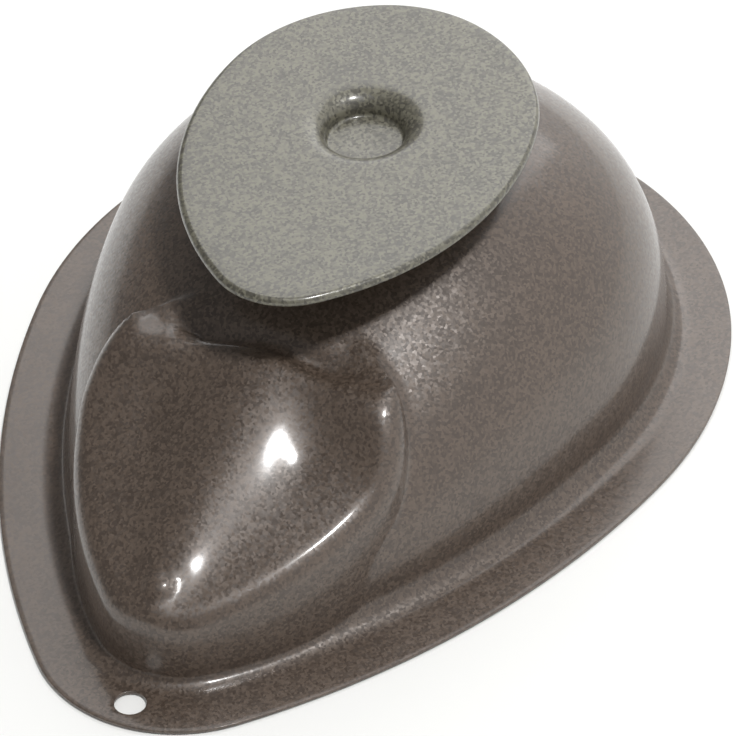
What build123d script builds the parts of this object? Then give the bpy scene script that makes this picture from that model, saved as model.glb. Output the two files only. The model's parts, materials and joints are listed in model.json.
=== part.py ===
from build123d import *
import math
import os

# A small cake mould in the form of a mouse, pressed from sheet steel, in millimetres.
# It stands upside down on its rim: +Z is up, +X points to the mouse's nose, the rim's
# underside is on Z = 0, and the mould is symmetric about Y = 0 but for its foot plate.

# Sheet and overall size
sheet = 0.6                  # coated steel sheet of both pressings
crown_height = 45.6          # top of the shell's crown
foot_height = 50.0           # face that the mould stands on in use

# Rim: four arcs a side, nose, flank, shoulder and tail, each tangent to the next
rim_radii = (24.5, 153.7, 69.0, 57.7)
shoulder_turns = (80.0, 110.0)   # normal angles, from the nose, where the shoulder arc starts and ends
rim_width = 11.1             # rim and its bend, up to the foot of the wall
nose_setback = 1.3           # extra rim width at the nose, for the hanging hole
bend_radius = 4.0            # inside of the bend between rim and wall
hole_x = 74.8
hole_diameter = 5.2

# Body: egg-shaped sections that shrink and grow round towards the crown
crown_x = -19.7              # middle of the crown
crown_flat = 0.10            # share of the root outline that is flat at the crown
plan_power = 1.6             # fullness of the body's rise, as powers of a superellipse
height_power = 3.0
roundness = 0.9              # how near to a circle the top section is
roundness_power = 2.45
steps = (0.0, 0.06, 0.16, 0.30, 0.43, 0.56, 0.69, 0.82, 0.94, 1.0)

# Head: a heart-shaped block with two ears, under a sloping face
ear_centre = (31.0, 15.4)
ear_radius = 12.6
snout_centre_x = 55.5
snout_radius = 13.7
cheek_radius = 60.0
head_draft = 3.0             # degrees
draft_datum = 30.0           # height at which the head's circles have their stated size
face_ends = (13.0, 75.0)     # along X, beyond the head at both ends
face_side = 32.0             # half of its width
face_edge = 2.6              # rounding of the face's edge
crease = 1.2                 # rounding where the head meets the body
ridge_height = 35.6          # middle of the face at ridge_x
ridge_x = 20.0
ridge_slope = 0.455
brow_fall = 0.58             # how steeply the brow stands above the cheeks
brow_spread = 0.25           # its half width, as a share of the distance to its apex at the nose
brow_apex_x = 70.0
brow_tip = 1.0               # half width at the apex
cheek_fall = 0.004           # how fast the cheeks fall away to the sides
ear_lift = 11.0              # how far the ears stand above the face
ear_top = (22.0, 21.0)
ear_lean = 61.0              # degrees from the X axis in which the ear's long side lies
ear_width = 10.0             # half widths of its swell, along and across that side
ear_depth = 6.0
nose_x = 61.8                # ball of the nose
nose_height = 14.3
nose_radius = 3.7
nose_crease = 0.8

# Foot plate
foot_radii = (13.5, 51.9, 29.8, 24.1)
foot_turns = (101.8, 157.9)
foot_tail_x = -49.6
foot_twist = 3.3             # degrees that the plate is turned on its weld
foot_edge = 1.3              # depth of its turned-down edge
foot_edge_radius = 1.0
dimple_x = -18.0
dimple_floor_radius = 5.9
dimple_corner = 0.6          # radius round the dimple's floor
weld_radius = 2.5
weld_depth = 0.3             # how far the weld reaches into each sheet


def first_turn(radii, turns):
    """The normal angle, in degrees, where nose meets flank: it closes the outline."""
    nose, flank, shoulder, tail = radii
    start, end = (math.sin(math.radians(turn)) for turn in turns)
    half_width = tail * end + shoulder * (1 - end)
    return math.degrees(math.asin((half_width - shoulder * (1 - start) - flank * start) / (nose - flank)))


def egg_length(radii, turns):
    ends = (0.0, first_turn(radii, turns), *turns, 180.0)
    cosines = [math.cos(math.radians(end)) for end in ends]
    return sum(r * (a - b) for r, a, b in zip(radii, cosines, cosines[1:]))


def egg_wire(radii, turns, tail_x):
    """Adds a closed egg outline of four arcs a side to the line being built."""
    ends = (0.0, first_turn(radii, turns), *turns, 180.0)
    position, direction = Vector(tail_x + egg_length(radii, turns), 0), Vector(0, 1)
    for radius, start, end in zip(radii, ends, ends[1:]):
        arc = JernArc(position, direction, radius, end - start)
        position, direction = arc @ 1, arc % 1
    mirror(about=Plane.XZ)


def egg_face(radii, turns, tail_x):
    """Adds the face inside that outline to the sketch being built."""
    with BuildLine(Plane.XY) as outline:
        egg_wire(radii, turns, tail_x)
    make_face(outline.edges())


rim_tail_x = -egg_length(rim_radii, shoulder_turns) / 2
root_radii = [radius - rim_width for radius in rim_radii]
root_tail_x = rim_tail_x + rim_width - nose_setback
shoulder_end = math.sin(math.radians(shoulder_turns[1]))
root_half_width = root_radii[3] * shoulder_end + root_radii[2] * (1 - shoulder_end)
rise = crown_height - sheet
base_z = -1.0                # the dome and the head start below the rim, which is cut off flat at 0


def section(step, inset):
    """Height, radii and tail position of a section of the body's skin, set in by inset."""
    angle = step * math.pi / 2
    sine, cosine = math.sin(angle), max(0.0, math.cos(angle))
    height = sheet + rise * sine ** (2 / height_power)
    scale = crown_flat + (1 - crown_flat) * cosine ** (2 / plan_power)
    blend = roundness * math.sin(math.pi / 2 * (height - sheet) / rise) ** roundness_power
    radii = [scale * (radius + (root_half_width - radius) * blend) for radius in root_radii]
    tail_x = crown_x + (root_tail_x - crown_x) * scale
    # the skin's normal at this height, outwards and upwards
    climb = rise / height_power * cosine
    shrink = root_half_width * (1 - crown_flat) / plan_power
    shrink *= cosine ** (2 / plan_power - 1) * sine ** (2 - 2 / height_power)
    outwards, upwards = climb / math.hypot(climb, shrink), shrink / math.hypot(climb, shrink)
    radii = [radius - inset * outwards for radius in radii]
    return height - inset * upwards, radii, tail_x + inset * outwards


def face_height(x, y):
    """Height of the face's outer surface."""
    ridge = ridge_height - ridge_slope * (x - ridge_x)
    spread = math.hypot(brow_spread * (brow_apex_x - x), brow_tip)
    below_brow = brow_fall * spread * (1 - math.exp(-(y / spread) ** 2 / 2))
    lean = math.radians(ear_lean)
    off_x, off_y = x - ear_top[0], abs(y) - ear_top[1]
    along = (off_x * math.cos(lean) + off_y * math.sin(lean)) / ear_width
    across = (off_x * math.sin(lean) - off_y * math.cos(lean)) / ear_depth
    ear = ear_lift * math.exp(-(along ** 2 + across ** 2) / 2)
    return ridge - below_brow - cheek_fall * y * y + ear


def face_point(x, y, inset):
    """A point of the face, lowered so that its surface is set in by inset."""
    step = 0.01
    slope_x = (face_height(x + step, y) - face_height(x - step, y)) / (2 * step)
    slope_y = (face_height(x, y + step) - face_height(x, y - step)) / (2 * step)
    return Vector(x, y, face_height(x, y) - inset * math.sqrt(1 + slope_x ** 2 + slope_y ** 2))


def held_touches(first, second, radius):
    """Where an arc of this radius touches the two circles (x, y, r) that it wraps."""
    (x1, y1, r1), (x2, y2, r2) = first, second
    span = math.hypot(x2 - x1, y2 - y1)
    along = ((radius - r1) ** 2 - (radius - r2) ** 2 + span ** 2) / (2 * span)
    aside = math.sqrt((radius - r1) ** 2 - along ** 2)
    centre_x = x1 + ((x2 - x1) * along + (y2 - y1) * aside) / span
    centre_y = y1 + ((y2 - y1) * along - (x2 - x1) * aside) / span
    if centre_y > 0:
        centre_x = x1 + ((x2 - x1) * along - (y2 - y1) * aside) / span
        centre_y = y1 + ((y2 - y1) * along + (x2 - x1) * aside) / span
    centre = Vector(centre_x, centre_y)
    return [centre + (Vector(x, y) - centre).normalized() * radius for x, y, _ in (first, second)]


def head_face(grow):
    """Adds the head's outline, grown by grow, to the sketch being built."""
    ear = (*ear_centre, ear_radius + grow)
    snout = (snout_centre_x, 0.0, snout_radius + grow)
    at_ear, at_snout = held_touches(ear, snout, cheek_radius + grow)
    snout_turn = math.degrees(math.atan2(at_snout.Y, at_snout.X - snout_centre_x))
    ear_turn = 180 - math.degrees(math.atan2(at_ear.Y - ear[1], at_ear.X - ear[0]))
    with BuildLine(Plane.XY) as outline:
        tip = JernArc((snout_centre_x + snout[2], 0), (0, 1), snout[2], snout_turn)
        cheek = RadiusArc(tip @ 1, at_ear, -(cheek_radius + grow))
        lobe = JernArc(cheek @ 1, cheek % 1, ear[2], ear_turn)
        Line(lobe @ 1, ((lobe @ 1).X, 0))
        mirror(about=Plane.XZ)
    make_face(outline.edges())


def face_surface(inset):
    """The face's surface, set in by inset, as a smooth patch larger than the head."""
    columns, rows = 33, 41
    along = [face_ends[0] + (face_ends[1] - face_ends[0]) * i / (columns - 1) for i in range(columns)]
    across = [face_side * (2 * j / (rows - 1) - 1) for j in range(rows)]
    points = [[face_point(x, y, inset) for y in across] for x in along]
    return Face.make_surface_from_array_of_points(points, tol=0.02)


def skin(inset):
    """The solid inside the pressing's skin, set in by inset, down to below the rim."""
    with BuildPart() as dome:
        with BuildSketch(Plane.XY.offset(base_z)):
            egg_face([radius - inset for radius in root_radii], shoulder_turns, root_tail_x + inset)
        for step in steps:
            height, radii, tail_x = section(step, inset)
            with BuildSketch(Plane.XY.offset(height)):
                egg_face(radii, shoulder_turns, tail_x)
        loft()
    # the inner skin's rim is wider, so that it cuts the whole underside flat
    with BuildPart() as rim:
        with BuildSketch(Plane.XY.offset(2 * base_z)):
            egg_face([radius + 2 * inset for radius in rim_radii], shoulder_turns, rim_tail_x - 2 * inset)
        extrude(amount=sheet - inset - 2 * base_z)
    with BuildPart() as body:
        add(dome.part)
        add(rim.part)
        root = new_edges(dome.part, rim.part, combined=body.part)
        fillet(root, bend_radius + inset)
    under_face = extrude(face_surface(inset), amount=2 * crown_height, dir=(0, 0, -1))
    draft = math.radians(head_draft)
    with BuildPart() as head:
        with BuildSketch(Plane.XY.offset(base_z)):
            head_face((draft_datum - base_z) * math.tan(draft) - inset / math.cos(draft))
        extrude(amount=crown_height, taper=head_draft)
        add(under_face, mode=Mode.INTERSECT)
        front = head.faces().sort_by(Axis.Z)[-1].edges().sort_by(Axis.X)[1:]
        fillet(front, face_edge - inset)
    with BuildPart() as form:
        add(body.part)
        add(head.part)
        seam = new_edges(body.part, head.part, combined=form.part)
        fillet(seam, crease + inset)
    with BuildPart() as nose:
        with Locations((nose_x, 0, nose_height)):
            Sphere(nose_radius - inset)
    with BuildPart() as mouse:
        add(form.part)
        add(nose.part)
        around_nose = new_edges(form.part, nose.part, combined=mouse.part)
        fillet(around_nose, nose_crease + inset)
    return mouse.part


# Shell: the skin, less the same skin set in by one sheet
outer_skin = skin(0.0)
inner_skin = skin(sheet)
with BuildPart() as pan_shell:
    add(outer_skin)
    add(inner_skin, mode=Mode.SUBTRACT)
    with Locations((hole_x, 0, sheet)):
        Hole(hole_diameter / 2)
    with Locations((dimple_x, 0, crown_height)):
        Cylinder(weld_radius, weld_depth, align=(Align.CENTER, Align.CENTER, Align.MAX), mode=Mode.SUBTRACT)
pan_shell.part.label = "pan_shell"

# Foot plate: a shallow tray, upside down, with a dimple drawn down to the crown
foot_plane = Plane.XY.offset(foot_height)
mouth_radius = dimple_floor_radius + foot_height - crown_height - sheet
lip = mouth_radius - dimple_floor_radius - dimple_corner
with BuildPart() as foot_plate:
    with BuildSketch(Plane.XY.offset(foot_height - foot_edge)):
        egg_face(foot_radii, foot_turns, foot_tail_x)
    extrude(amount=foot_edge)
    fillet(foot_plate.faces().sort_by(Axis.Z)[-1].edges(), foot_edge_radius)
    with BuildSketch(Plane.XY.offset(foot_height - foot_edge)):
        egg_face([radius - sheet for radius in foot_radii], foot_turns, foot_tail_x + sheet)
    extrude(amount=foot_edge - sheet, mode=Mode.SUBTRACT)
    with BuildSketch(Plane.XZ) as boss:
        with BuildLine():
            low = Polyline((dimple_x, foot_height - sheet / 2), (dimple_x, crown_height),
                           (dimple_x + dimple_floor_radius, crown_height))
            corner = JernArc(low @ 1, (1, 0), dimple_corner + sheet, 90)
            rim = JernArc(corner @ 1, (0, 1), lip - sheet, -90)
            Polyline(rim @ 1, rim @ 1 + (0, sheet / 2), low @ 0)
        make_face()
    revolve(axis=Axis((dimple_x, 0, 0), (0, 0, 1)))
    with BuildSketch(Plane.XZ) as bowl:
        with BuildLine():
            low = Polyline((dimple_x, foot_height), (dimple_x, crown_height + sheet),
                           (dimple_x + dimple_floor_radius, crown_height + sheet))
            corner = JernArc(low @ 1, (1, 0), dimple_corner, 90)
            rim = JernArc(corner @ 1, (0, 1), lip, -90)
            Line(rim @ 1, low @ 0)
        make_face()
    revolve(axis=Axis((dimple_x, 0, 0), (0, 0, 1)), mode=Mode.SUBTRACT)
    with Locations((dimple_x, 0, crown_height)):
        Cylinder(weld_radius, weld_depth, align=(Align.CENTER, Align.CENTER, Align.MIN), mode=Mode.SUBTRACT)
foot_plate.part = foot_plate.part.rotate(Axis((dimple_x, 0, 0), (0, 0, 1)), foot_twist)
foot_plate.part.label = "foot_plate"

# Spot weld: the nugget that joins the two sheets under the dimple
with BuildPart() as spot_weld:
    with Locations((dimple_x, 0, crown_height)):
        Cylinder(weld_radius, 2 * weld_depth)
spot_weld.part.label = "spot_weld"

os.makedirs("parts", exist_ok=True)
for piece in (pan_shell, foot_plate, spot_weld):
    export_step(piece.part, f"parts/{piece.part.label}.step")
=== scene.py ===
# %% [markdown]
# # A small cake mould in the form of a mouse
# The mould is pressed from thin steel sheet, coated so that cake doesn't stick to it, and shown
# upside down on its rim. A second small pressing is spot welded to its crown, as the foot that it
# stands on in the oven. This lesson lays both sheets as smooth meshes, gives them their coating and
# sets up the studio. Lengths are worked out in millimetres and turned to metres when a mesh is made.

# %% Load the model
import json
import math
import bpy
import numpy as np
from mathutils import Matrix, Vector
from mathutils.geometry import tessellate_polygon

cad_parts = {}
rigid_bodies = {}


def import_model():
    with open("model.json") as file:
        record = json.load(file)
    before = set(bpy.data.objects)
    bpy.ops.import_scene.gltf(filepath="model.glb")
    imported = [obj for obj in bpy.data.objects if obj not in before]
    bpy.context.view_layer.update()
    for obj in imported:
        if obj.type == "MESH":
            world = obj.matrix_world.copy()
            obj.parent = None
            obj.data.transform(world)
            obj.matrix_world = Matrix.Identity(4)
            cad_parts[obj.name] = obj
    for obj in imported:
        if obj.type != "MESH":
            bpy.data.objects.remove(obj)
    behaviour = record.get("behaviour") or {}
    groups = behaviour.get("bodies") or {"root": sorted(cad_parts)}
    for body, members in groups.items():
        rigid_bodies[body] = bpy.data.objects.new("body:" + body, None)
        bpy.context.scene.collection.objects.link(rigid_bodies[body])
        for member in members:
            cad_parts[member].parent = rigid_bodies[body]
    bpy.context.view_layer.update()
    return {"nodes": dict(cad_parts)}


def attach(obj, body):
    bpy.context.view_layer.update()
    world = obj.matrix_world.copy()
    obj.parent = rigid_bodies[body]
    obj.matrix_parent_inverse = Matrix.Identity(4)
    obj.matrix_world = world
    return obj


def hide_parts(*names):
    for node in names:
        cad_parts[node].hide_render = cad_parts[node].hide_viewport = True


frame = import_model()
mm = 0.001

# %% [markdown]
# ## Egg outlines
# The rim, the foot of the wall and the foot plate are eggs. A toolmaker draws such an egg with
# compasses, as four arcs a side, nose, flank, shoulder and tail, each tangent to the next. The arcs
# stay tangent when every radius shrinks by the same amount, so the same few numbers give the cut
# edge, the rings inside it and the bend. A curve pulled into shape by eye can't be offset so cleanly.

# %% Arcs of an egg
tiny = 1e-12                 # more than a rounding error, less than any length that matters


def egg_half_width(radii, turns):
    """Half the width of an egg, from its tail and shoulder arcs."""
    shoulder_end = math.sin(math.radians(turns[1]))
    return radii[3] * shoulder_end + radii[2] * (1 - shoulder_end)


def turn_marks(radii, turns):
    """The normal's angles, nose to tail, where one arc of an egg meets the next."""
    nose, flank, shoulder, _ = radii
    start = math.sin(math.radians(turns[0]))
    beside_nose = egg_half_width(radii, turns) - shoulder * (1 - start) - flank * start
    return [0.0, math.asin(beside_nose / (nose - flank)), *map(math.radians, turns), math.pi]


def egg_length(radii, turns):
    """The length of an egg from nose to tail."""
    marks = turn_marks(radii, turns)
    return sum(r * (math.cos(a) - math.cos(b)) for r, a, b in zip(radii, marks, marks[1:]))


def egg_points(radii, turns, tail_x, angles):
    """Points of an egg where its normal has these angles, negative ones on the other side."""
    marks, turned = turn_marks(radii, turns), np.abs(angles)
    centre_x, centre_y, points = tail_x + radii[3], 0.0, np.zeros((len(angles), 2))
    for k in (3, 2, 1, 0):
        if k < 3:
            step = radii[k + 1] - radii[k]
            centre_x += step * math.cos(marks[k + 1])
            centre_y += step * math.sin(marks[k + 1])
        on_arc = (turned >= marks[k] - tiny) & (turned <= marks[k + 1] + tiny)
        points[on_arc, 0] = centre_x + radii[k] * np.cos(turned[on_arc])
        points[on_arc, 1] = centre_y + radii[k] * np.sin(turned[on_arc])
    points[:, 1] *= np.where(angles < 0, -1, 1)
    return points


print("an egg of arcs of 10, 60, 30 and 20 mm is", round(egg_length((10, 60, 30, 20), (80, 110)), 1),
      "mm long")

# %% The rim and the foot of the wall
rim_radii = (24.5, 153.7, 69.0, 57.7)      # nose, flank, shoulder, tail
shoulder_turns = (80.0, 110.0)             # degrees where the shoulder's arc starts and ends
rim_width = 11.1
nose_setback = 1.3                         # the rim is this much wider at the nose than at the side
root_radii = [radius - rim_width for radius in rim_radii]
rim_tail_x = -egg_length(rim_radii, shoulder_turns) / 2
root_tail_x = rim_tail_x + rim_width - nose_setback
root_half_width = egg_half_width(root_radii, shoulder_turns)
root_marks = turn_marks(root_radii, shoulder_turns)
print("rim, mm:", round(-2 * rim_tail_x, 2), "long; foot of the wall:",
      round(2 * root_half_width, 2), "wide")

# %% [markdown]
# ## The skin as distances
# A pressing has one thickness everywhere, so all its form is in one skin, and the other side follows
# at the sheet's thickness. The mouse's head runs into its body with soft creases, and its face ends
# in a rolled edge. Boolean modifiers and bevels make such blends badly on a mesh. Here each form is a
# rule that tells how far a point is from it, and two rules are joined as a ball of the fillet's
# radius would roll between them. A grid of points can then be settled on the joined skin, and no
# seam shows anywhere.

# %% Joining two forms with a rolled fillet
nearly_parallel = 0.9999      # two normals that agree more than this have no corner to fill


def join(dist_a, normal_a, dist_b, normal_b, radius):
    """Distance and normal of two forms together, with a fillet of this radius in the corner."""
    lean = np.clip(np.sum(normal_a * normal_b, axis=-1), -nearly_parallel, nearly_parallel)
    part_a = ((radius - dist_a) - lean * (radius - dist_b)) / (1 - lean * lean)
    part_b = ((radius - dist_b) - lean * (radius - dist_a)) / (1 - lean * lean)
    in_fillet = (part_a > 0) & (part_b > 0)
    # from the point to the middle of the ball that touches both forms
    to_ball = part_a[:, None] * normal_a + part_b[:, None] * normal_b
    size = np.linalg.norm(to_ball, axis=-1)
    dist = np.where(in_fillet, radius - size, np.minimum(dist_a, dist_b))
    nearer = np.where((dist_a < dist_b)[:, None], normal_a, normal_b)
    rolled = to_ball / np.maximum(size, tiny)[:, None]
    return dist, np.where(in_fillet[:, None], rolled, nearer)


def common(dist_a, normal_a, dist_b, normal_b, radius):
    """What two forms have in common, with its edge rounded to this radius."""
    dist, normal = join(-dist_a, -normal_a, -dist_b, -normal_b, radius)
    return -dist, -normal


square_corner = join(np.zeros(1), np.eye(3)[:1], np.zeros(1), np.eye(3)[1:2], 1.0)
print("a 1 mm fillet fills a square corner, mm:", round(-float(square_corner[0][0]), 3))

# %% [markdown]
# ## The body
# The mouse's back is a drawn dome. At the wall's foot its section is the egg, and higher up it turns
# round, because the punch that draws it is blunt. Shrink-wrapping a sphere would give that only
# roughly. Here each height has its own egg, scaled about the crown, and the profile from wall to
# crown is one superellipse: steep at the wall, flat on the crown where the foot plate sits.

# %% Measures of the body
sheet = 0.6                                  # thickness of the steel and its coating
crown_height = 45.6
rise = crown_height - sheet
crown_x, crown_flat = -19.7, 0.10            # where the crown is, and the flat share of its egg
plan_power, height_power = 1.6, 3.0          # the superellipse: soft shoulder, steep wall
roundness, roundness_power = 0.9, 2.45       # how round the section gets, and how late
least_scale, least_width = 1e-6, 1e-4        # these and the least slope keep the sums finite
least_slope = 0.2 / crown_height             # at the crown's middle
print("crown, mm:", crown_height, "high,", round(rise, 2), "above the rim")


# %% The egg that passes through a point
def egg_scale(x, y, blend):
    """The scale at which the root's egg, blended to a circle, passes through (x, y).

    It comes with the egg's normal there, and with the reach: how far the unscaled egg's
    tangent there is from the crown."""
    radii = [radius + (root_half_width - radius) * blend for radius in root_radii]
    px, py = x - crown_x, np.abs(y)
    centres = [None, None, None, (root_tail_x + radii[3] - crown_x, np.zeros_like(x))]
    for k in (2, 1, 0):
        (cx, cy), step, mark = centres[k + 1], radii[k + 1] - radii[k], root_marks[k + 1]
        centres[k] = (cx + step * math.cos(mark), cy + step * math.sin(mark))
    scale, reach = np.zeros_like(x), np.ones_like(x)
    nx, ny, found = np.zeros_like(x), np.zeros_like(x), np.zeros(x.shape, bool)
    for k in range(4):
        (cx, cy), radius, mark = centres[k], radii[k], root_marks[k + 1]
        end_x, end_y = cx + radius * math.cos(mark), cy + radius * math.sin(mark)
        on_arc = ((px * end_y - py * end_x >= 0) | (k == 3)) & ~found
        found |= on_arc
        # the point divided by its scale lies on the arc, which makes a quadratic for the scale
        along, inner, outer = px * cx + py * cy, radius * radius - cx * cx - cy * cy, px * px + py * py
        root = np.sqrt(np.maximum(along * along + inner * outer, 0))
        here = np.maximum((root - along) / inner, least_scale)
        mx, my = px / here - cx, py / here - cy
        size = np.hypot(mx, my) + tiny
        scale = np.where(on_arc, here, scale)
        reach = np.where(on_arc, radius + (cx * mx + cy * my) / size, reach)
        nx, ny = np.where(on_arc, mx / size, nx), np.where(on_arc, my / size, ny)
    return scale, nx, ny * np.where(y < 0, -1, 1), reach


scale_at_tail = egg_scale(np.array([root_tail_x]), np.zeros(1), 0.0)[0][0]
print("scale of the egg at the wall's foot:", round(float(scale_at_tail), 3))


# %% How far a point is from the body
def round_share(z):
    """How near to a circle the section at this height is."""
    return roundness * np.sin(np.pi / 2 * np.clip((z - sheet) / rise, 0, 1)) ** roundness_power


def body(points):
    """Distance and outward normal of the body's skin."""
    x, y, z = points.T
    step = 0.02              # over which the change with height is measured
    scale, nx, ny, reach = egg_scale(x, y, round_share(z))
    scale_above = egg_scale(x, y, round_share(z + step))[0]
    height = np.maximum((z - sheet) / rise, 0)
    width = np.maximum((scale - crown_flat) / (1 - crown_flat), least_width)
    by_scale = plan_power * width ** (plan_power - 1) / (1 - crown_flat)
    by_scale = np.where(scale < crown_flat, 0.0, by_scale)
    by_height = height_power * height ** (height_power - 1) / rise
    by_height = by_height + by_scale * (scale_above - scale) / step
    gradient = np.stack([by_scale * nx / reach, by_scale * ny / reach, by_height], axis=-1)
    size = np.maximum(np.linalg.norm(gradient, axis=-1), least_slope)
    return (width ** plan_power + height ** height_power - 1) / size, gradient / size[:, None]


off_crown = body(np.array([[crown_x, 0.0, crown_height + 1.0]]))[0][0]
print("distance read 1 mm above the crown, mm:", round(float(off_crown), 2))

# %% [markdown]
# ## The mouse's head
# Seen from above the head is a rounded triangle: a snout, two long cheeks and two ears, each an arc
# tangent to its neighbours. Its wall leans in by a few degrees, as all walls of a pressing do, so
# that the sheet comes off the punch.

# %% The head's outline
ear_centre, ear_radius = (31.0, 15.4), 12.6
snout_centre_x, snout_radius = 54.2, 13.2
cheek_radius = 65.0


def cheek_arcs():
    """The outline as (centre x, centre y, radius, first angle, last angle): snout, cheek, ear."""
    (ex, ey), span = ear_centre, math.hypot(ear_centre[0] - snout_centre_x, ear_centre[1])
    # the cheek's arc goes round both circles, so these lengths part its centre from theirs
    to_ear, to_snout = cheek_radius - ear_radius, cheek_radius - snout_radius
    along = (to_ear ** 2 - to_snout ** 2 + span ** 2) / (2 * span)
    aside = math.sqrt(to_ear ** 2 - along ** 2)
    ux, uy = (snout_centre_x - ex) / span, -ey / span
    both_sides = ((ex + ux * along + side * uy * aside, ey + uy * along - side * ux * aside)
                  for side in (1, -1))
    cx, cy = min(both_sides, key=lambda centre: centre[1])
    from_snout, from_ear = math.atan2(-cy, snout_centre_x - cx), math.atan2(ey - cy, ex - cx)
    return [(snout_centre_x, 0.0, snout_radius, 0.0, from_snout),
            (cx, cy, cheek_radius, from_snout, from_ear),
            (ex, ey, ear_radius, from_ear, math.pi)]


head_arcs = cheek_arcs()
print("head, mm:", round(snout_centre_x + snout_radius - ear_centre[0] + ear_radius, 1), "long,",
      round(2 * (ear_centre[1] + ear_radius), 1), "wide")


# %% How far a point is from the outline
def head_outline(x, y):
    """Distance and normal of the head's outline, seen from above."""
    best, nx, ny = np.full(x.shape, -np.inf), np.zeros_like(x), np.zeros_like(x)
    for cx, cy, radius, first, last in head_arcs:
        dx, dy = x - cx, np.abs(y) - cy
        own = np.arctan2(dy, dx)
        # nothing in the outline is hollow, so the furthest of its tangents tells the distance
        for angle in (first, last, np.where((own >= first) & (own <= last), own, first)):
            dist = dx * np.cos(angle) + dy * np.sin(angle) - radius
            further = dist > best
            nx, ny = np.where(further, np.cos(angle), nx), np.where(further, np.sin(angle), ny)
            best = np.maximum(best, dist)
    return best, nx, ny * np.where(y < 0, -1, 1)


outline_at_nose = head_outline(np.array([snout_centre_x + snout_radius]), np.zeros(1))[0][0]
print("distance read on the snout's tip, mm:", abs(round(float(outline_at_nose), 3)))

# %% [markdown]
# ## The mouse's face
# The face slopes down from the crown to the nose. A brow stands along its middle and narrows to the
# nose, the cheeks fall away beside it, each eye is a shallow dent in the brow's foot, and each ear is
# a long swell that leans outwards. In a sculpting mode these would be a few strokes of a soft brush.
# A sum of bell curves does the same with numbers, each of which can be changed alone and measured
# again, so that the highlights come where they are on the real one.

# %% Height of the face
ridge_height, ridge_x, ridge_slope = 35.6, 20.0, 0.455
brow_fall, brow_spread = 0.46, 0.18           # how deep and how wide the brow's sides fall
brow_apex_x, brow_tip = 78.6, 0.5             # where it would come to a point, and its least width
cheek_fall = 0.004                            # per square millimetre away from the middle
ear_lift, ear_top, ear_lean = 13.5, (19.5, 22.5), math.radians(55.0)
ear_width, ear_depth = 11.0, 5.8              # along the ear and from front to back
eye_dent = (35.6, 13.3, 3.8, 2.9, -0.75)      # x, y, two half widths and height
snout_swell = (57.8, 2.4, 2.5, 2.0, 0.4)      # beside the root of the nose


def bell(a, b):
    return np.exp(-(a * a + b * b) / 2)


def face_height(x, y):
    ridge = ridge_height - ridge_slope * (x - ridge_x)
    spread = np.hypot(brow_spread * (brow_apex_x - x), brow_tip)
    brow = brow_fall * spread * (1 - bell(y / spread, 0))
    off_x, off_y = x - ear_top[0], np.abs(y) - ear_top[1]
    along = off_x * math.cos(ear_lean) + off_y * math.sin(ear_lean)
    across = off_x * math.sin(ear_lean) - off_y * math.cos(ear_lean)
    ear = ear_lift * bell(along / ear_width, across / ear_depth)
    height = ridge - brow - cheek_fall * y * y + ear
    for cx, cy, half_x, half_y, lift in (eye_dent, snout_swell):
        height = height + lift * bell((x - cx) / half_x, (np.abs(y) - cy) / half_y)
    return height


print("height of brow, eye and ear, mm:",
      [round(float(face_height(x, y)), 1) for x, y in ((ridge_x, 0.0), eye_dent[:2], ear_top)])

# %% [markdown]
# ## Head, body and nose in one skin
# The head is its leaning wall cut off by the face, with the edge between them rolled. It joins the
# body in a narrow crease, which opens into a soft hollow on the forehead between the ears. The nose
# is a small ball. Inside the head's outline the body lies lower, so that none of it comes through
# the face.

# %% The head with its rolled edge
head_draft, draft_datum = math.radians(3.0), 30.0     # lean of the wall, height where the outline holds
face_edge, ear_edge = 4.4, 0.6                        # radius of the edge, and what the ears' backs add
ear_back_x, ear_back_length = 30.0, 10.0


def ramp(value, length):
    """Rises from 0 to 1 while the value goes from 0 to this length."""
    return np.clip(value / length, 0, 1)


def ease(value, length):
    """The same with a soft start and end."""
    share = ramp(value, length)
    return share * share * (3 - 2 * share)


def head(points):
    """Distance and normal of the head."""
    x, y, z = points.T
    dist, nx, ny = head_outline(x, y)
    wall = (dist - (draft_datum - z) * math.tan(head_draft)) * math.cos(head_draft)
    wall_normal = np.stack([nx * math.cos(head_draft), ny * math.cos(head_draft),
                            np.full_like(x, math.sin(head_draft))], axis=-1)
    step = 0.01              # over which the slopes are measured
    slope_x = (face_height(x + step, y) - face_height(x - step, y)) / (2 * step)
    slope_y = (face_height(x, y + step) - face_height(x, y - step)) / (2 * step)
    size = np.sqrt(1 + slope_x ** 2 + slope_y ** 2)
    face_normal = np.stack([-slope_x, -slope_y, np.ones_like(x)], axis=-1) / size[:, None]
    edge = face_edge + ear_edge * ease(ear_back_x - x, ear_back_length)
    return common(wall, wall_normal, (z - face_height(x, y)) / size, face_normal, edge)


print("edge of the face, mm:", face_edge, "and", face_edge + ear_edge, "behind the ears")

# %% The whole outer skin
bend_radius = 4.0                                     # between rim and wall
body_drop = 4.0                                       # how much lower the body lies under the face
drop_x, drop_length, drop_inset = 14.0, 7.0, 6.0      # where that sets in, and how softly
head_crease = 1.2
forehead_crease, forehead_width = 4.0, 13.0           # added to it between the ears
forehead_height, forehead_blend = 15.0, 10.0          # where that starts, and over what height
nose_x, nose_height, nose_radius, nose_crease = 61.8, 13.9, 3.5, 1.2


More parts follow.
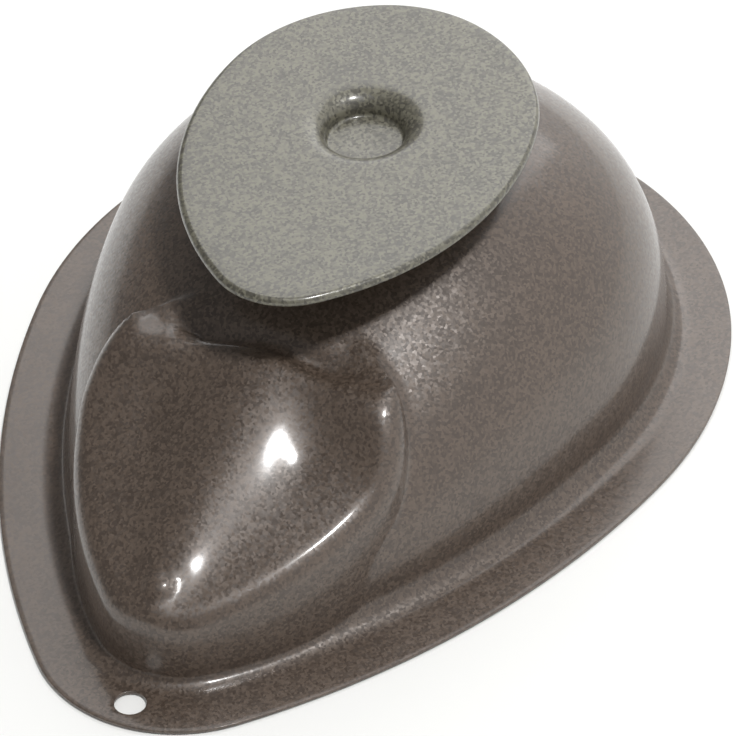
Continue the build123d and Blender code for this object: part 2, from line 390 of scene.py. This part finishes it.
def skin(points):
    """Distance and normal of the whole outer skin."""
    x, y, z = points.T
    up = np.zeros_like(points)
    up[:, 2] = 1
    under_face = ease(-head_outline(x, y)[0], drop_inset) * ease(x - drop_x, drop_length)
    form = join(*body(points + body_drop * under_face[:, None] * up), z - sheet, up, bend_radius)
    between_ears = ramp(z - forehead_height, forehead_blend) * bell(y / forehead_width, 0)
    form = join(*form, *head(points), head_crease + forehead_crease * between_ears)
    from_nose = points - np.array([nose_x, 0.0, nose_height])
    size = np.linalg.norm(from_nose, axis=-1)
    return join(*form, size - nose_radius, from_nose / size[:, None], nose_crease)


off_nose = skin(np.array([[nose_x, 0.0, nose_height + nose_radius + 1.0]]))[0][0]
print("distance read 1 mm above the nose, mm:", round(float(off_nose), 2))

# %% [markdown]
# ## Laying the sheet
# The grid starts as rings of the plain body, rim, bend and wall, with its columns evenly spaced along
# the rim. Its points move out until they lie on the skin, then each moves a little towards the middle
# of its neighbours, along the skin only, until the grid is even. This is what relaxing a mesh with the
# Smooth brush does, with the form kept exactly.

# %% Rings of the rim
columns, rim_rows, bend_rows, wall_rows = 440, 9, 9, 120


def even_angles(radii, turns, count):
    """Normal angles whose points are evenly spaced along an egg, starting at the nose."""
    marks = turn_marks(radii, turns)
    arcs = [r * (b - a) for r, a, b in zip(radii, marks, marks[1:])]
    lengths = np.concatenate([[0], np.cumsum(arcs)])
    half = np.interp(np.linspace(0, lengths[-1], count // 2 + 1), lengths, marks)
    return np.concatenate([half, -half[-2:0:-1]])


def at_height(outline, z):
    return np.column_stack([outline, np.full(len(outline), z)])


rim_angles = even_angles(rim_radii, shoulder_turns, columns)


def ring(radii, tail_x, z):
    return at_height(egg_points(radii, shoulder_turns, tail_x, rim_angles), z)


def rim_rings():
    """The flat rim, from its edge to the bend."""
    outer = ring(rim_radii, rim_tail_x, sheet)
    inner = ring([radius + bend_radius for radius in root_radii], root_tail_x - bend_radius, sheet)
    return [outer * (1 - share) + inner * share
            for share in np.linspace(0, 1, rim_rows, endpoint=False)]


rim_spacing = float(np.linalg.norm(rim_rings()[0][1] - rim_rings()[0][0]))
print("points round the rim:", columns, "which are", round(rim_spacing, 2), "mm apart")

# %% Rings of the bend, the wall and the crown
profile_samples = 2000
mean_reach = 60.0            # of the root's egg from the crown, to measure along the profile


def bend_rings():
    """The bend between rim and wall."""
    rings = []
    for angle in np.linspace(0, np.pi / 2, bend_rows, endpoint=False):
        out, lift = bend_radius * (1 - math.sin(angle)), bend_radius * (1 - math.cos(angle))
        rings.append(ring([radius + out for radius in root_radii], root_tail_x - out, sheet + lift))
    return rings


def wall_rings():
    """The plain body, from the bend to the crown, at even steps along its profile."""
    angle = np.linspace(0, np.pi / 2, profile_samples)
    height = np.append(sheet + rise * np.sin(angle) ** (2 / height_power), crown_height)
    scale = np.append(crown_flat + (1 - crown_flat) * np.cos(angle) ** (2 / plan_power), 0.0)
    wall = height >= sheet + bend_radius
    height, scale = height[wall], scale[wall]
    steps = np.hypot(np.diff(height), mean_reach * np.diff(scale))
    length, rings = np.concatenate([[0], np.cumsum(steps)]), []
    for mark in np.linspace(0, length[-1], wall_rows + 1):
        z, size = np.interp(mark, length, height), max(np.interp(mark, length, scale), least_scale)
        share = float(round_share(np.array([z]))[0])
        radii = [size * (radius + (root_half_width - radius) * share) for radius in root_radii]
        rings.append(ring(radii, crown_x + (root_tail_x - crown_x) * size, z))
    return rings


plain_grid = np.array(rim_rings() + bend_rings() + wall_rings())
print("grid of the plain body:", plain_grid.shape[:2])

# %% Settling it on the skin
growing_rounds, closing_rounds = 60, 4      # to bring the points out, and back onto the skin at last
relaxing_rounds = 110
relaxing = 0.7                              # share of the way to the neighbours' middle in a round


def settle(grid, rounds, fixed):
    """Moves the rings above the fixed ones onto the skin and evens them out along it."""
    grid = grid.copy()
    shape = grid[fixed:-1].shape
    points = grid[fixed:-1].reshape(-1, 3)
    outwards = body(points)[1]
    for _ in range(growing_rounds):
        points = points + outwards * np.clip(-skin(points)[0], 0, None)[:, None]
    for turn in range(rounds + closing_rounds):
        dist, normal = skin(points)
        points = points - normal * dist[:, None]
        if turn < rounds:
            grid[fixed:-1] = points.reshape(shape)
            beside = (np.roll(grid, 1, axis=1) + np.roll(grid, -1, axis=1))[1:-1]
            middle = (beside + grid[:-2] + grid[2:]) / 4
            move = (middle - grid[1:-1])[fixed - 1:].reshape(-1, 3)
            normal = skin(points)[1]
            along_skin = move - normal * np.sum(move * normal, axis=-1, keepdims=True)
            points = points + relaxing * along_skin
    grid[fixed:-1] = points.reshape(shape)
    return grid


outer_grid = settle(plain_grid, relaxing_rounds, fixed=rim_rows)
off = np.abs(skin(outer_grid[rim_rows:-1].reshape(-1, 3))[0])
print("grid", outer_grid.shape[:2], "furthest off the skin, mm:", round(float(off.max()), 4))

# %% [markdown]
# ## The sheet's thickness
# On the real mould the inside repeats the outside, one sheet's thickness deeper. A Solidify modifier
# sets each vertex in along the average of its faces, which goes uneven in a tight crease. The rules
# know the skin's true normal at each point, so here the inside is set in along that.

# %% The other side of the sheet
normals = skin(outer_grid.reshape(-1, 3))[1].reshape(outer_grid.shape)
normals[:rim_rows] = (0, 0, 1)
normals[-1] = (0, 0, 1)
inner_grid = outer_grid - sheet * normals
inner_grid[:rim_rows, :, 2] = 0
print("highest point inside, mm:", round(float(inner_grid[..., 2].max()), 2))

# %% [markdown]
# ## Edges of the sheet
# A blanking tool cuts the rim and the hanging hole, and leaves an edge that the coating rounds a
# little. That small round is what catches the light, so it is modelled: a few rings turn over the
# edge. A Boolean would cut the hole through the grid with long thin faces. Here the hole has its own
# ring of points, and the flat rim round it is filled with triangles.

# %% Rings over a cut edge
edge_round, edge_steps = 0.15, 4
hole_x, hole_radius, hole_points = 74.8, 2.6, 72
quarter = np.linspace(0, np.pi / 2, edge_steps)
upper_edge = [(edge_round * (1 - math.sin(a)), sheet - edge_round * (1 - math.cos(a))) for a in quarter]
cut_edge = upper_edge + [(inset, sheet - z) for inset, z in reversed(upper_edge)]

rim_edge = [ring([radius - inset for radius in rim_radii], rim_tail_x + inset, z)
            for inset, z in cut_edge]
hole_angles = np.linspace(0, 2 * np.pi, hole_points, endpoint=False)
hole_edge = [at_height(np.column_stack([hole_x + (hole_radius + inset) * np.cos(hole_angles),
                                        (hole_radius + inset) * np.sin(hole_angles)]), z)
             for inset, z in cut_edge]
print("rings over the rim's edge:", len(rim_edge), "hole, mm:", 2 * hole_radius)

# %% [markdown]
# ## One closed mesh
# The outside, the inside and both cut edges are all rings of points, so the pressing is made by joining
# each ring to the next with four-cornered faces. Only the crown's middle and the flat round the hole
# take triangles. Separate surfaces joined with Merge by Distance would leave it to a tolerance which
# points become one, and the vertex numbers used here leave no doubt.


# %% Laying rings and faces
def lay(points, ring_points):
    """Adds points to those of a piece and returns their vertex numbers."""
    first = sum(len(laid) for laid in points)
    points.append(ring_points)
    return np.arange(first, first + len(ring_points))


def band(first_ring, second_ring):
    """Faces that join two closed rings of vertex numbers."""
    a, b = np.asarray(first_ring), np.asarray(second_ring)
    return np.stack([a, np.roll(a, -1), np.roll(b, -1), b], axis=-1).tolist()


def fan(ring_numbers, middle):
    """Triangles from a closed ring to its middle."""
    return [[int(a), int(b), int(middle)] for a, b in zip(ring_numbers, np.roll(ring_numbers, -1))]


def loop_of(faces):
    """The outline round a patch of faces, as vertex numbers in order."""
    edges = {(a, b) for face in faces for a, b in zip(face, face[1:] + face[:1])}
    after = dict(edge for edge in edges if edge[::-1] not in edges)
    loop = [next(iter(after))]
    while after[loop[-1]] != loop[0]:
        loop.append(after[loop[-1]])
    return loop


print("a band between two rings of 3:", band([0, 1, 2], [3, 4, 5]))

# %% Both sides of the shell
hole_clearance = 0.55      # faces nearer to the hole than this make room for its triangles
top = np.concatenate([rim_edge[0][None], outer_grid[1:-1]])
under = np.concatenate([rim_edge[-1][None], inner_grid[1:-1]])


def side_faces(grid, numbers, middle):
    """Faces of one side of the shell up to its middle point, and apart those beside the hole."""
    beside_hole = np.linalg.norm(grid[..., :2] - (hole_x, 0), axis=-1) < hole_radius + hole_clearance
    faces, near_hole = [], []
    for k in range(len(grid) - 1):
        touched = beside_hole[k] | beside_hole[k + 1]
        touched |= np.roll(touched, -1)
        for face, taken in zip(band(numbers[k], numbers[k + 1]), touched):
            (near_hole if taken else faces).append(face)
    return faces + fan(numbers[-1], middle), near_hole


shell_points = []
top_numbers = lay(shell_points, top.reshape(-1, 3)).reshape(top.shape[:2])
crown_number = int(lay(shell_points, outer_grid[-1, :1])[0])
lay(shell_points, under.reshape(-1, 3))
lay(shell_points, inner_grid[-1, :1])
to_under = crown_number + 1       # from a vertex's number to that of the one under it
shell_faces, near_hole = side_faces(top, top_numbers, crown_number)
shell_faces += [[v + to_under for v in reversed(face)] for face in shell_faces]
print("faces on both sides:", len(shell_faces), "left out round the hole:", 2 * len(near_hole))

# %% The rim's edge and the hole's edge
rim_numbers = [top_numbers[0], *(lay(shell_points, ring_points) for ring_points in rim_edge[1:-1])]
rim_numbers.append(top_numbers[0] + to_under)
for upper, lower in zip(rim_numbers, rim_numbers[1:]):
    shell_faces += band(lower, upper)
hole_numbers = [lay(shell_points, ring_points) for ring_points in hole_edge]
for upper, lower in zip(hole_numbers, hole_numbers[1:]):
    shell_faces += band(upper, lower)
print("faces with the edges:", len(shell_faces))

# %% The flat rim round the hole
outline = loop_of(near_hole)
flat = top.reshape(-1, 3)[outline]
corner_spots = np.concatenate([flat, hole_edge[0]])
corners = outline + hole_numbers[0].tolist()
corners_under = [v + to_under for v in outline] + hole_numbers[-1].tolist()
for a, b, c in tessellate_polygon([[Vector(p) for p in flat], [Vector(p) for p in hole_edge[0]]]):
    (ax, ay), (bx, by), (cx, cy) = (corner_spots[v, :2] for v in (a, b, c))
    if (bx - ax) * (cy - ay) - (by - ay) * (cx - ax) <= 0:
        b, c = c, b
    shell_faces.append([corners[v] for v in (a, b, c)])
    shell_faces.append([corners_under[v] for v in (c, b, a)])
print("round the hole:", len(outline), "points, heights", round(float(flat[:, 2].min()), 2), "to",
      round(float(flat[:, 2].max()), 2))


# %% The shell as a mesh object
def add_piece(name, points, faces):
    """A smooth-shaded mesh object made from points in millimetres."""
    mesh = bpy.data.meshes.new(name)
    mesh.from_pydata((points * mm).tolist(), [], faces)
    mesh.update()
    mesh.validate()
    mesh.polygons.foreach_set("use_smooth", [True] * len(mesh.polygons))
    piece = bpy.data.objects.new(name, mesh)
    bpy.context.scene.collection.objects.link(piece)
    return piece


def drop_loose(points, faces):
    """The same mesh without the vertices that no face uses."""
    used = np.unique(np.concatenate([np.asarray(face) for face in faces]))
    place = np.zeros(len(points), int)
    place[used] = np.arange(len(used))
    return points[used], [[int(place[v]) for v in face] for face in faces]


mouse_shell = add_piece("mouse_shell", *drop_loose(np.concatenate(shell_points), shell_faces))
print("mouse_shell:", len(mouse_shell.data.vertices), "vertices,",
      len(mouse_shell.data.polygons), "faces")

# %% [markdown]
# ## The foot plate
# The foot is a second pressing: an egg-shaped plate with its edge turned down, and a dimple drawn
# down to the crown, where it is welded. It sits a few degrees askew on its weld, as the real one
# does. A plane with a bevelled hole would show a hard corner where the dimple starts. Here the
# section is drawn once, from the dimple's middle to the plate's edge and back underneath, and each
# column of the mesh follows it outwards, round near the dimple and egg-shaped at the edge.

# %% Measures of the foot plate
foot_height = 50.0
foot_radii, foot_turns, foot_tail_x = (13.5, 51.9, 29.8, 24.1), (101.8, 157.9), -49.6
foot_twist = math.radians(3.3)
foot_edge, foot_edge_radius = 1.3, 1.0    # how far the edge turns down, and its bend
dimple_x, dimple_floor_radius = -18.0, 5.9
dimple_corner = 0.6                       # inside radius between the dimple's floor and side
mark_radius, mark_depth = 2.6, 0.06       # print of the welding electrode on the dimple's floor
lip = foot_height - sheet - crown_height - dimple_corner
lip_spread = 1.25                         # how much wider than high the lip's rounding is
mouth_radius = dimple_floor_radius + dimple_corner + lip * lip_spread
print("dimple, mm: mouth", round(2 * mouth_radius, 2), "floor", 2 * dimple_floor_radius)

# %% The dimple's section, from the middle outwards
mark_slope = 0.35                         # half the width of the print's sloping edge
print_rows, floor_rows = (0.3, 0.8, 1.4, 2.0), (4.0, 5.2)      # radii of the floor's rings
corner_points, lip_points = 9, 15


def arc(centre, radius, start, end, count, spread=1.0):
    """Points (across, height) of an arc, its ends included, angles in degrees."""
    turns = np.radians(np.linspace(start, end, count))
    return [(centre[0] + radius * spread * math.cos(a), centre[1] + radius * math.sin(a))
            for a in turns]


def dimple_side(floor, corner, lip_radius, spread, mark):
    """(radius, height) up one side of the dimple's sheet."""
    rows = [(r, floor - mark) for r in (*print_rows, mark_radius - mark_slope)]
    rows += [(mark_radius, floor - mark / 2), (mark_radius + mark_slope, floor)]
    rows += [(r, floor) for r in floor_rows]
    rows += arc((dimple_floor_radius, floor + corner), corner, -90, 0, corner_points)
    return rows + arc((mouth_radius, floor + corner), lip_radius, 180, 90, lip_points, spread)[1:]


under_spread = (lip * lip_spread - sheet) / (lip - sheet)
top_dimple = dimple_side(crown_height + sheet, dimple_corner, lip, lip_spread, mark_depth)
under_dimple = dimple_side(crown_height, dimple_corner + sheet, lip - sheet, under_spread, 0.0)
print("rows up the dimple:", len(top_dimple), "above and", len(under_dimple), "underneath")

# %% The section of the plate's edge
bevel = 0.12                              # of the cut edge
outer_points, inner_points = 9, 6
bend_centre = (0, foot_height - foot_edge_radius)
cut_height = foot_height - foot_edge
outer_bend = arc(bend_centre, foot_edge_radius, 90, 0, outer_points)
inner_bend = arc(bend_centre, foot_edge_radius - sheet, 0, 90, inner_points)
plate_edge = [(foot_edge_radius - across, z) for across, z in outer_bend]
plate_edge += [(0, cut_height + bevel), (bevel, cut_height)]
plate_edge += [(sheet - bevel, cut_height), (sheet, cut_height + bevel)]
plate_edge += [(foot_edge_radius - across, z) for across, z in inner_bend]
print("rows over the plate's edge:", len(plate_edge))

# %% The plate's rings
foot_columns, flat_rows = 240, 16
foot_angles = even_angles(foot_radii, foot_turns, foot_columns)
foot_outline = egg_points(foot_radii, foot_turns, foot_tail_x, foot_angles)
foot_normal = np.column_stack([np.cos(foot_angles), np.sin(foot_angles)])
dimple_middle = np.array([dimple_x, 0.0])


def plate_rings():
    """The plate's rings, out from the dimple's middle and back to it underneath."""
    edge = foot_outline - foot_edge_radius * foot_normal
    bearing = edge - dimple_middle
    bearing = bearing / np.linalg.norm(bearing, axis=1)[:, None]
    mouth = dimple_middle + mouth_radius * bearing
    shares = np.linspace(0, 1, flat_rows)[1:-1]
    rings = [at_height(dimple_middle + r * bearing, z) for r, z in top_dimple]
    rings += [at_height(mouth * (1 - t) + edge * t, foot_height) for t in shares]
    rings += [at_height(foot_outline - inset * foot_normal, z) for inset, z in plate_edge]
    rings += [at_height(mouth * t + edge * (1 - t), foot_height - sheet) for t in shares]
    return rings + [at_height(dimple_middle + r * bearing, z) for r, z in reversed(under_dimple)]


print("foot plate, mm:", round(egg_length(foot_radii, foot_turns), 1), "long,",
      round(2 * egg_half_width(foot_radii, foot_turns), 1), "wide")

# %% The plate as a mesh object
plate_points = []
middles = lay(plate_points, np.array([[dimple_x, 0, crown_height + sheet - mark_depth],
                                      [dimple_x, 0, crown_height]]))
plate_numbers = [lay(plate_points, ring_points) for ring_points in plate_rings()]
plate_faces = fan(plate_numbers[0], middles[0])
for previous, following in zip(plate_numbers, plate_numbers[1:]):
    plate_faces += band(following, previous)
plate_faces += [[b, a, middle] for a, b, middle in fan(plate_numbers[-1], middles[1])]
plate = np.concatenate(plate_points)
turn = np.array([[math.cos(foot_twist), -math.sin(foot_twist)],
                 [math.sin(foot_twist), math.cos(foot_twist)]])
plate[:, :2] = (plate[:, :2] - dimple_middle) @ turn.T + dimple_middle
mouse_foot = add_piece("mouse_foot", plate, plate_faces)
print("mouse_foot:", len(mouse_foot.data.vertices), "vertices")

# %% [markdown]
# ## Where each piece belongs
# The two meshes stand for the solids of the same pressings and ride on the same body. The weld is
# hidden between the sheets, and keeps its solid.

# %% Pieces and their solids
for piece, node, finish in ((mouse_shell, "pan_shell", "shell_coating"),
                            (mouse_foot, "foot_plate", "foot_coating")):
    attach(piece, "root")
    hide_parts(node)
    print(piece.name, "stands for", node)

# %% [markdown]
# ## The coating
# The sheet is steel with a baked non-stick coating: PTFE with mica and aluminium flakes in a dark
# warm brown, sprayed on and cured. The smooth binder gives a semi-gloss skin with clear highlights,
# so the shader has a coat. The flakes below it lie at slightly different angles, which speckles the
# surface and scatters a sparkle round each highlight. Painting that as an image would need a layout
# of the whole mouse. Cells of a Voronoi texture in the object's own space need none, and one random
# colour a cell gives each flake its shade, its tilt and its roughness.


# %% Colours and nodes
def linear(code):
    """An sRGB hex colour as linear RGBA."""
    parts = [int(code[k:k + 2], 16) / 255 for k in (1, 3, 5)]
    return (*(c / 12.92 if c <= 0.04045 else ((c + 0.055) / 1.055) ** 2.4 for c in parts), 1.0)


def add_node(tree, kind, settings=(), inputs=(), links=()):
    """A node with its settings, input values and incoming links (input, node, output)."""
    node = tree.nodes.new(kind)
    for name, value in dict(settings).items():
        setattr(node, name, value)
    for name, value in dict(inputs).items():
        node.inputs[name].default_value = value
    for name, source, output in links:
        tree.links.new(source.outputs[output], node.inputs[name])
    return node


print("mid grey in linear light:", [round(v, 3) for v in linear("#808080")])

# %% The flakes' colour and tilt
flake_size = 0.45 * mm       # real flakes are about 0.05 mm, too fine to show, so drawn coarser
cloud_size = 9 * mm          # spraying leaves the coat a little uneven at this size
flake_contrast = 1.6         # of the flakes against the clouds
darkest, lightest = 0.75, 1.85
flake_tilt = 0.13            # of a normal of length 1, so a few degrees either way


def flake_colour(tree, place, shade, dark, light):
    """Each flake's own colour, between a dark and a light one, in soft clouds."""
    clouds = add_node(tree, "ShaderNodeTexNoise", inputs={"Scale": 1 / cloud_size, "Detail": 3.0},
                      links=[("Vector", place, "Object")])
    level = add_node(tree, "ShaderNodeMath", {"operation": "MULTIPLY_ADD"}, {1: flake_contrast},
                     [(0, shade, "Red"), (2, clouds, "Fac")])
    lightness = add_node(tree, "ShaderNodeMapRange", inputs={"From Min": darkest, "From Max": lightest},
                         links=[("Value", level, "Value")])
    colour = add_node(tree, "ShaderNodeMix", {"data_type": "RGBA"},
                      links=[("Factor", lightness, "Result")])
    colour.inputs["A"].default_value, colour.inputs["B"].default_value = linear(dark), linear(light)
    return colour


def flake_normal(tree, flakes):
    """The surface's normal, tilted by a few degrees on each flake."""
    centred = add_node(tree, "ShaderNodeVectorMath", {"operation": "SUBTRACT"}, {1: (0.5, 0.5, 0.5)},
                       [(0, flakes, "Color")])
    surface = add_node(tree, "ShaderNodeNewGeometry")
    tilted = add_node(tree, "ShaderNodeVectorMath", {"operation": "MULTIPLY_ADD"},
                      {1: (flake_tilt, flake_tilt, flake_tilt)},
                      [(0, centred, "Vector"), (2, surface, "Normal")])
    return add_node(tree, "ShaderNodeVectorMath", {"operation": "NORMALIZE"},
                    links=[(0, tilted, "Vector")])


print("flakes drawn, mm:", round(flake_size / mm, 2), "clouds, mm:", round(cloud_size / mm, 1))

# %% The non-stick coating
roughness_mean, roughness_spread = 0.44, 0.06


def flaked_coating(name, dark, light):
    """A non-stick coating with flakes, between two colours."""
    coating = bpy.data.materials.new(name)
    coating.use_nodes = True
    tree = coating.node_tree
    shader = tree.nodes["Principled BSDF"]
    for socket, value in (("Metallic", 0.15),         # the aluminium among the flakes
                          ("IOR", 1.65),              # the flakes lift it above the binder's
                          ("Coat Weight", 0.8),       # the binder's smooth skin
                          ("Coat Roughness", 0.14),   # baked, not polished
                          ("Coat IOR", 1.4)):         # a little above the PTFE's, for its resin
        shader.inputs[socket].default_value = value
    place = add_node(tree, "ShaderNodeTexCoord")
    flakes = add_node(tree, "ShaderNodeTexVoronoi", {"feature": "F1"},
                      {"Scale": 1 / flake_size, "Randomness": 1.0}, [("Vector", place, "Object")])
    shade = add_node(tree, "ShaderNodeSeparateColor", links=[("Color", flakes, "Color")])
    rough = add_node(tree, "ShaderNodeMapRange", inputs={"To Min": roughness_mean - roughness_spread,
                                                         "To Max": roughness_mean + roughness_spread},
                     links=[("Value", shade, "Green")])
    colour = flake_colour(tree, place, shade, dark, light)
    tree.links.new(colour.outputs["Result"], shader.inputs["Base Color"])
    tree.links.new(flake_normal(tree, flakes).outputs["Vector"], shader.inputs["Normal"])
    tree.links.new(rough.outputs["Result"], shader.inputs["Roughness"])
    return coating


shell_coating = flaked_coating("coated_steel_brown", "#463a31", "#5f5146")
# The foot plate is pressed from the same coated sheet as the shell. Its colours are drawn lighter and
# more olive than the shell's: a painted sheen standing in for the light its flat top mirrors from
# behind.
foot_coating = flaked_coating("coated_steel_foot_painted_sheen", "#444138", "#706d5e")
mouse_shell.data.materials.append(shell_coating)
mouse_foot.data.materials.append(foot_coating)
print("coatings:", shell_coating.name, foot_coating.name)

# %% [markdown]
# ## The weld
# A spot weld fuses the two sheets where the electrodes press. Fused steel is a dull grey metal, a
# little mottled by the heat. Nothing of it shows here, but the solid has its finish all the same.

# %% Fused steel
mottle_size = 0.8 * mm
fused_steel = bpy.data.materials.new("fused_steel")
fused_steel.use_nodes = True
steel = fused_steel.node_tree
steel_shader = steel.nodes["Principled BSDF"]
steel_shader.inputs["Metallic"].default_value = 1.0
steel_shader.inputs["Roughness"].default_value = 0.45
steel_place = add_node(steel, "ShaderNodeTexCoord")
mottle = add_node(steel, "ShaderNodeTexNoise", inputs={"Scale": 1 / mottle_size, "Detail": 4.0},
                  links=[("Vector", steel_place, "Object")])
heat_tint = add_node(steel, "ShaderNodeMix", {"data_type": "RGBA"}, links=[("Factor", mottle, "Fac")])
heat_tint.inputs["A"].default_value = linear("#8a8480")
heat_tint.inputs["B"].default_value = linear("#b4b0ab")
steel.links.new(heat_tint.outputs["Result"], steel_shader.inputs["Base Color"])
weld = frame["nodes"]["spot_weld"]
for slot in weld.material_slots:
    slot.material = fused_steel
print("weld slots:", len(weld.material_slots))

# %% [markdown]
# ## Floor and world
# The picture is a product shot on white. The camera sees a white world and a white paper floor,
# which keeps the mould's shadow. The light on the object stays plain and lower than that, so that a
# colour comes out about as it is written. Glossy rays see a room that is bright on one side and dark
# on the other, because a coated pressing gets most of its form from what it mirrors.

# %% The paper floor
floor_size = 4.0             # metres, so that its edge stays out of the picture
floor_gap = 0.2 * mm         # below the rim, so that the two faces don't flicker
bpy.ops.mesh.primitive_plane_add(size=floor_size, location=(0, 0, -floor_gap))
floor = bpy.context.object
floor.name = "floor"
paper = bpy.data.materials.new("white_paper")
paper.use_nodes = True
paper_shader = paper.node_tree.nodes["Principled BSDF"]
paper_shader.inputs["Base Color"].default_value = linear("#f2f2f0")
paper_shader.inputs["Roughness"].default_value = 0.9
floor.data.materials.append(paper)
print("floor at, mm:", round(-floor_gap / mm, 2))

# %% The world
plain_light, white = 0.45, 1.0                        # strengths on the object and for the camera
bright_side = (-0.55, 0.8, -0.2)                      # direction of the bright wall
# strengths mirrored from the dark side, opposite to it, to the bright one
room = {"From Min": -0.5, "From Max": 0.9, "To Min": 0.12, "To Max": 0.9}
world = bpy.data.worlds.new("studio")
world.use_nodes = True
bpy.context.scene.world = world
sky = world.node_tree
background = sky.nodes["Background"]
background.inputs["Color"].default_value = (1, 1, 1, 1)
ray = add_node(sky, "ShaderNodeLightPath")
direction = add_node(sky, "ShaderNodeTexCoord")
towards_wall = add_node(sky, "ShaderNodeVectorMath", {"operation": "DOT_PRODUCT"}, {1: bright_side},
                        [(0, direction, "Generated")])
mirrored = add_node(sky, "ShaderNodeMapRange", {"interpolation_type": "SMOOTHSTEP"}, room,
                    [("Value", towards_wall, "Value")])
lit = add_node(sky, "ShaderNodeMix", {"data_type": "FLOAT"}, {"A": plain_light},
               [("Factor", ray, "Is Glossy Ray"), ("B", mirrored, "Result")])
seen = add_node(sky, "ShaderNodeMix", {"data_type": "FLOAT"}, {"B": white},
                [("Factor", ray, "Is Camera Ray"), ("A", lit, "Result")])
sky.links.new(seen.outputs["Result"], background.inputs["Strength"])
print("world strength:", plain_light, "on the object,", white, "behind it")

# %% [markdown]
# ## Lamps and camera
# A small lamp high over the head gives the sharp glints on eye, nose and edges, so its place was
# found from them. A wide soft one stands behind, where the flat rim mirrors it into the lens as a
# sheen. The camera stands far away with a long lens, as for a catalogue, in front of the face and a
# little to the mouse's left. Its place was solved from the outlines of the rim and the foot plate.

# %% Lamps
def soft_lamp(name, towards, distance, size, power, aim):
    """A square area lamp that faces a point of the object, in metres and watts."""
    aim, towards = Vector(aim), Vector(towards).normalized()
    light = bpy.data.lights.new(name, "AREA")
    light.size, light.energy = size, power
    lamp = bpy.data.objects.new(name, light)
    bpy.context.scene.collection.objects.link(lamp)
    lamp.location = aim + towards * distance
    lamp.rotation_euler = towards.to_track_quat("Z", "Y").to_euler()
    return lamp


glint_lamp = soft_lamp("glint_lamp", towards=(0.157, 0.351, 0.929), distance=1.2, size=0.12,
                       power=8.5, aim=(0, 0, 0.02))
sheen_lamp = soft_lamp("sheen_lamp", towards=(-0.668, -0.339, 0.663), distance=0.5, size=0.45,
                       power=1.25, aim=(-0.06, 0.13, 0.02))
print("lamps at", [tuple(round(v, 2) for v in lamp.location) for lamp in (glint_lamp, sheen_lamp)])

# %% Camera
azimuth, elevation, roll = math.radians(116.954), math.radians(41.510), math.radians(-2.756)
focal_pixels, image_pixels = 9603.15, 736      # the focal length is known in pixels of the picture
camera_distance, far_end = 1.6, 50             # metres
sensor = 36                                    # mm
target = Vector((-13.384, 0.819, 0.6)) * mm
back = Vector((math.sin(azimuth) * math.cos(elevation), -math.cos(azimuth) * math.cos(elevation),
               math.sin(elevation)))
level_right = Vector((math.cos(azimuth), math.sin(azimuth), 0))
level_up = back.cross(level_right)
right = level_right * math.cos(roll) + level_up * math.sin(roll)
up = level_up * math.cos(roll) - level_right * math.sin(roll)
view = bpy.data.cameras.new("view")
view.sensor_width = sensor
view.lens = sensor * focal_pixels / image_pixels
view.clip_end = far_end
camera = bpy.data.objects.new("camera", view)
bpy.context.scene.collection.objects.link(camera)
pose = Matrix((right, up, back)).transposed().to_4x4()
pose.translation = target + back * camera_distance
camera.matrix_world = pose
bpy.context.scene.camera = camera
bpy.context.scene.view_settings.view_transform = "Standard"
print("lens, mm:", round(view.lens, 1))
